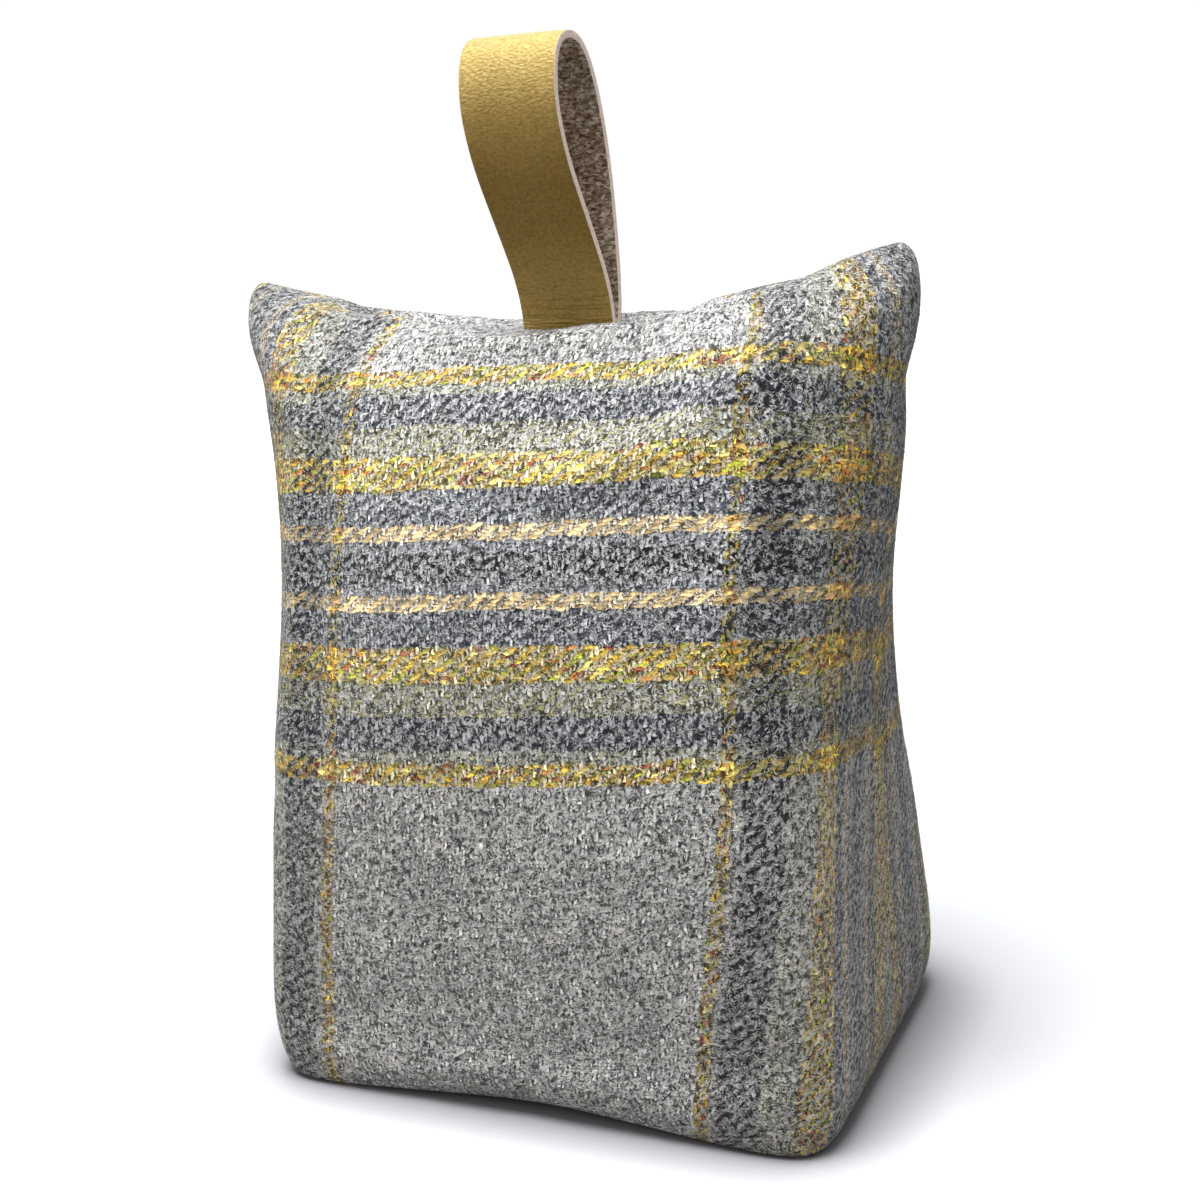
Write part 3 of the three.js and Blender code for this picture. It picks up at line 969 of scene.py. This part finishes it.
# Subdivision will pull each bend inwards, so the points to lead it by are solved to end up right
count = len(STRAP_LINE)
pull = np.eye(count) * 4 / 6 + np.eye(count, k=1) / 6 + np.eye(count, k=-1) / 6
pull[0, :2] = pull[-1, -2:][::-1] = (1, 0)
lead = np.linalg.solve(pull, np.array(STRAP_LINE))
tail_start, tail_end = Vector((0, *lead[0])) * MM, Vector((0, *lead[1])) * MM
bpy.ops.object.mode_set(mode="EDIT")
bpy.ops.mesh.select_all(action="SELECT")
bpy.ops.transform.resize(value=(1, (tail_end - tail_start).length / (STRAP_WIDTH * MM), 1))
bpy.ops.transform.rotate(value=-math.pi / 2, orient_axis="X", center_override=(0, 0, 0))
tail_middle = (tail_start + tail_end) / 2 + Vector((STRAP_SIDE_OFFSET * MM, 0, 0))
bpy.ops.transform.translate(value=tail_middle)
bpy.ops.mesh.select_mode(type="EDGE")
bpy.ops.mesh.select_all(action="DESELECT")
bpy.ops.object.mode_set(mode="OBJECT")
top_of_tail = max(v.co.z for v in strap.data.vertices)
for edge in strap.data.edges:
    edge.select = all(strap.data.vertices[i].co.z > top_of_tail - 0.1 * MM for i in edge.vertices)
bpy.ops.object.mode_set(mode="EDIT")
for (y0, z0), (y1, z1) in zip(lead[1:], lead[2:]):
    bpy.ops.mesh.extrude_region_move(
        TRANSFORM_OT_translate={"value": (0, (y1 - y0) * MM, (z1 - z0) * MM)}
    )
bpy.ops.mesh.select_all(action="SELECT")
bpy.ops.mesh.normals_make_consistent(inside=False)
bpy.ops.object.mode_set(mode="OBJECT")
print("strap faces along its length:", len(strap.data.polygons))

# %% [markdown]
# ## The strap, step 2: thickness and edges
#
# Solidify gives the strap its 2.2 mm and keeps three sides apart: the smooth grain outside, the
# rough flesh side inside, and the cut edge. A narrow bevel keeps the cut crisp when the
# subdivision rounds the bends.

# %% Thicken the strap
RIM_BEVEL = 0.3

nothing_selected()
bpy.context.view_layer.objects.active = strap
strap.select_set(True)
front_face = strap.data.polygons[len(strap.data.polygons) // 4]
if front_face.normal.y > 0:
    bpy.ops.object.mode_set(mode="EDIT")
    bpy.ops.mesh.select_all(action="SELECT")
    bpy.ops.mesh.flip_normals()
    bpy.ops.object.mode_set(mode="OBJECT")

for name in ("leather_grain", "leather_flesh", "leather_cut_edge"):
    strap.data.materials.append(new_material(name))
grain_leather, flesh_leather, edge_leather = strap.data.materials

thicken = strap.modifiers.new("thickness", "SOLIDIFY")
thicken.thickness = STRAP_THICKNESS * MM
thicken.offset = 0
thicken.material_offset = 1
thicken.material_offset_rim = 2
rim = strap.modifiers.new("rim", "BEVEL")
rim.width = RIM_BEVEL * MM
rim.segments = 2
rim.limit_method = "ANGLE"
rim.angle_limit = math.radians(60)
rounder = strap.modifiers.new("round", "SUBSURF")
rounder.levels = 2
rounder.render_levels = 2
for modifier in ("thickness", "rim", "round"):
    bpy.ops.object.modifier_apply(modifier=modifier)
for polygon in strap.data.polygons:
    polygon.use_smooth = True
print("strap faces:", len(strap.data.polygons))

# %% [markdown]
# ## The leather
#
# Vegetable tanned leather keeps the pores of the hide: a fine pebble under a millimetre wide,
# with a satin gloss. Where the strap is bent and pinched at its foot it wrinkles across.
# The flesh side is a brown-grey nap, and the cut edge is pale with a fibrous core.

# %% Leather grain
PEBBLE_SIZE = (0.9, 0.9, 0.55)
# The strap is painted darker between its bend and its foot, as shade where the leaning loop faces
# down: by how much, at which heights it sets in, and how much of it is left at the foot, in metres
# and shares
PAINTED_SHADE_STRENGTH = 0.82
PAINTED_SHADE_COLOUR = "#60460A"
PAINTED_SHADE_FROM, PAINTED_SHADE_FULL = 0.262, 0.228
FOOT_FROM, FOOT_FULL, FOOT_SHARE = 0.222, 0.200, 0.45
# Wrinkles across the foot: where they set in and are full, and how deep they are beside a pebble
WRINKLES_FROM, WRINKLES_FULL, WRINKLE_DEPTH = 0.214, 0.195, 5.0
SPOT_COLOUR = "#6A4A22"
LEATHER_RELIEF = 0.22

grain_tree = grain_leather.node_tree
place = add_node(grain_tree, "TexCoord").outputs["Object"]
pebble_scale = tuple(1 / (size * MM) for size in PEBBLE_SIZE)
pebble_place = vector_node(grain_tree, "MULTIPLY", place, pebble_scale)
pebbles = add_node(grain_tree, "TexVoronoi", {"Vector": pebble_place, "Scale": 1.0},
                   feature="SMOOTH_F1")
pits = noise(grain_tree, pebble_place, 0.9, 3.0)
pit_shade = map_range(grain_tree, pits, 0.35, 0.65, 0.76, 1.16)
mottle = noise(grain_tree, place, 55.0, 5.0)
mottle_colour = add_node(grain_tree, "ValToRGB", {0: mottle})
fill_ramp(mottle_colour, [(0.3, "#B0965A"), (0.55, "#BDA262"), (0.75, "#C8AE70")])
spots = noise(grain_tree, place, 420.0)
spot_mask = map_range(grain_tree, spots, 0.70, 0.76, 0.0, 0.55)
grain_colour = mixed(grain_tree, spot_mask, mottle_colour.outputs[0], linear(SPOT_COLOUR))
low_place = add_node(grain_tree, "SeparateXYZ", {0: place}).outputs[2]
# Painted shade: the strap is darker from its bend down, where the loop faces down, and less so at
# the foot itself
painted_shade = map_range(grain_tree, low_place, PAINTED_SHADE_FULL, PAINTED_SHADE_FROM, 1.0, 0.0,
                    interpolation_type="SMOOTHSTEP")
foot = map_range(grain_tree, low_place, FOOT_FULL, FOOT_FROM, FOOT_SHARE, 1.0,
                 interpolation_type="SMOOTHSTEP")
painted_shade = math_node(grain_tree, "MULTIPLY", painted_shade, foot)
painted_shade = math_node(grain_tree, "MULTIPLY", painted_shade, PAINTED_SHADE_STRENGTH)
grain_colour = mixed(grain_tree, painted_shade, grain_colour, linear(PAINTED_SHADE_COLOUR))
grain_colour = add_node(grain_tree, "VectorMath", {0: grain_colour, "Scale": pit_shade},
                        operation="SCALE")
foot_mask = map_range(grain_tree, low_place, WRINKLES_FULL, WRINKLES_FROM, 1.0, 0.0)
wrinkle_place = add_node(grain_tree, "Mapping", {"Vector": place, "Scale": (60.0, 60.0, 900.0)})
wrinkles = noise(grain_tree, wrinkle_place, 1.0)
wrinkles = math_node(grain_tree, "MULTIPLY", wrinkles, foot_mask)
grain_height = math_node(grain_tree, "MULTIPLY_ADD", wrinkles, WRINKLE_DEPTH,
                         pebbles.outputs["Distance"])
grain_height = math_node(grain_tree, "ADD", grain_height, pits)
grain_bump = add_node(grain_tree, "Bump", {"Height": grain_height, "Strength": 0.9,
                                          "Distance": LEATHER_RELIEF * MM})
grain_finish = add_node(grain_tree, "BsdfPrincipled", {
    "Base Color": grain_colour, "Normal": grain_bump, "Roughness": 0.42, "Specular IOR Level": 0.4,
    "Specular Tint": linear("#E6BE70"),
})
add_node(grain_tree, "OutputMaterial", {"Surface": grain_finish})
print("grain nodes:", len(grain_tree.nodes))

# %% Flesh side and cut edge
NAP_RELIEF = 0.4
FLESH_COLOURS = ((0.36, "#4E3C2A"), (0.50, "#98836B"), (0.66, "#EADDCB"))
EDGE_COLOURS = ((0.36, "#B49888"), (0.44, "#EED8CA"), (0.70, "#FBEEE6"))

for material, nap_size, stops, strength in (
    (flesh_leather, (1.5, 1.5, 0.75), FLESH_COLOURS, 1.0),
    (edge_leather, (0.5, 0.5, 0.5), EDGE_COLOURS, 0.4),
):
    rough_tree = material.node_tree
    rough_place = add_node(rough_tree, "TexCoord").outputs["Object"]
    nap_scale = tuple(1 / (size * MM) for size in nap_size)
    rough_place = vector_node(rough_tree, "MULTIPLY", rough_place, nap_scale)
    nap = noise(rough_tree, rough_place, 1.0, 4.0, 0.65, 0.6)
    nap_colour = add_node(rough_tree, "ValToRGB", {0: nap})
    fill_ramp(nap_colour, stops)
    nap_bump = add_node(rough_tree, "Bump", {"Height": nap, "Strength": strength,
                                            "Distance": NAP_RELIEF * MM})
    nap_finish = add_node(rough_tree, "BsdfPrincipled", {
        "Base Color": nap_colour, "Normal": nap_bump, "Roughness": 0.9, "Specular IOR Level": 0.3,
    })
    add_node(rough_tree, "OutputMaterial", {"Surface": nap_finish})

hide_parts("leather_handle")
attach(strap, BODY)
print("leather ready")

# %% [markdown]
# ## Floor, lights and background
#
# The floor is plain and pale. For the camera it fades to white away from the pouch, by a light of
# its own that lights nothing, so beside the pouch it still takes the soft shadow. A big soft lamp
# hangs above, a weaker one stands in front on the left and a faint one on the right, at a level
# where colours render about as written.

# %% Floor
FLOOR_RADIUS = 3.0
# The distances at which the fade to white starts and ends, in metres
FLOOR_NEAR = 0.25
FLOOR_FAR = 0.9
# The painted shade in the gap beside the base: how far it reaches in metres, and how quickly it
# deepens
FLOOR_SHADE_REACH = 0.022
FLOOR_SHADE_POWER = 1.3
FLOOR_SHADE = "#6A6872"
FLOOR_LIT = "#A8A8A8"
FLOOR_SEEN = "#F0F0F0"


def seen_by_camera(tree):
    """1 for a ray from the camera, also after a glossy surface or glass, and 0 for light."""
    rays = add_node(tree, "LightPath")
    seen = rays.outputs["Is Camera Ray"]
    for kind in ("Is Glossy Ray", "Is Transmission Ray"):
        seen = math_node(tree, "MAXIMUM", seen, rays.outputs[kind])
    return seen


nothing_selected()
bpy.ops.mesh.primitive_circle_add(vertices=96, radius=FLOOR_RADIUS, fill_type="NGON")
floor = bpy.context.object
floor.name = "studio_floor"
paper = new_material("white_paper_floor")
paper_tree = paper.node_tree
paper_rays = seen_by_camera(paper_tree)
paper_colour = mixed(paper_tree, paper_rays, linear(FLOOR_LIT), linear(FLOOR_SEEN))
# The fill presses the cloth down, so the gap beside the base is narrow, and the floor there is
# painted darker, as shade
paper_gap = add_node(paper_tree, "AmbientOcclusion", {"Distance": FLOOR_SHADE_REACH}, samples=8)
paper_gap = math_node(paper_tree, "POWER", paper_gap.outputs["AO"], FLOOR_SHADE_POWER)
paper_shade = mixed(paper_tree, paper_gap, linear(FLOOR_SHADE), paper_colour)
paper_diffuse = add_node(paper_tree, "BsdfDiffuse", {"Color": paper_shade})
paper_place = add_node(paper_tree, "TexCoord").outputs["Object"]
paper_far = vector_node(paper_tree, "LENGTH", paper_place).outputs["Value"]
paper_glow_here = map_range(paper_tree, paper_far, FLOOR_NEAR, FLOOR_FAR, 0.0, 1.0)
paper_seen = math_node(paper_tree, "MULTIPLY", paper_rays, paper_glow_here)
paper_glow = add_node(paper_tree, "Emission", {"Color": linear("#FFFFFF"), "Strength": paper_seen})
paper_both = add_node(paper_tree, "AddShader", {0: paper_diffuse, 1: paper_glow})
add_node(paper_tree, "OutputMaterial", {"Surface": paper_both})
floor.data.materials.append(paper)
floor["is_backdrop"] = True
print("floor across, m:", 2 * FLOOR_RADIUS)

# %% Background and lamps
WORLD_LIGHT = 0.215
LAMPS_LOOK_AT = (0, 0, 0.12)

world = bpy.data.worlds.new("studio")
bpy.context.scene.world = world
world.use_nodes = True
world.node_tree.nodes.clear()
seen = seen_by_camera(world.node_tree)
around_light = add_node(world.node_tree, "Background", {"Color": linear("#FFFFFF"),
                                                       "Strength": WORLD_LIGHT})
white = add_node(world.node_tree, "Background", {"Color": linear("#FFFFFF"), "Strength": 1.0})
shown = add_node(world.node_tree, "MixShader", {0: seen, 1: around_light, 2: white})
add_node(world.node_tree, "OutputWorld", {"Surface": shown})

for name, place, size, power, colour in (
    ("lamp_above", (-0.02, -0.16, 0.95), 0.50, 13.2, "#F7FAFF"),
    ("lamp_front", (-0.65, -0.75, 0.45), 0.80, 2.9, "#FFFAF0"),
    ("lamp_side", (0.95, -0.10, 0.40), 0.25, 1.0, "#FFFFFF"),
):
    nothing_selected()
    bpy.ops.object.light_add(type="AREA", location=place)
    lamp = bpy.context.object
    lamp.name = name
    lamp.data.size = size
    lamp.data.energy = power
    lamp.data.color = linear(colour)[:3]
    toward = Vector(LAMPS_LOOK_AT) - Vector(place)
    lamp.rotation_euler = toward.to_track_quat("-Z", "Y").to_euler()

bpy.context.scene.view_settings.view_transform = "Standard"
print("studio ready")

# %% [markdown]
# ## The size
#
# The size of the finished model is printed.

# %% Sizes and finish
low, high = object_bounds()
print("visual box, mm:", [round(v / MM, 1) for v in (*low, *high)])
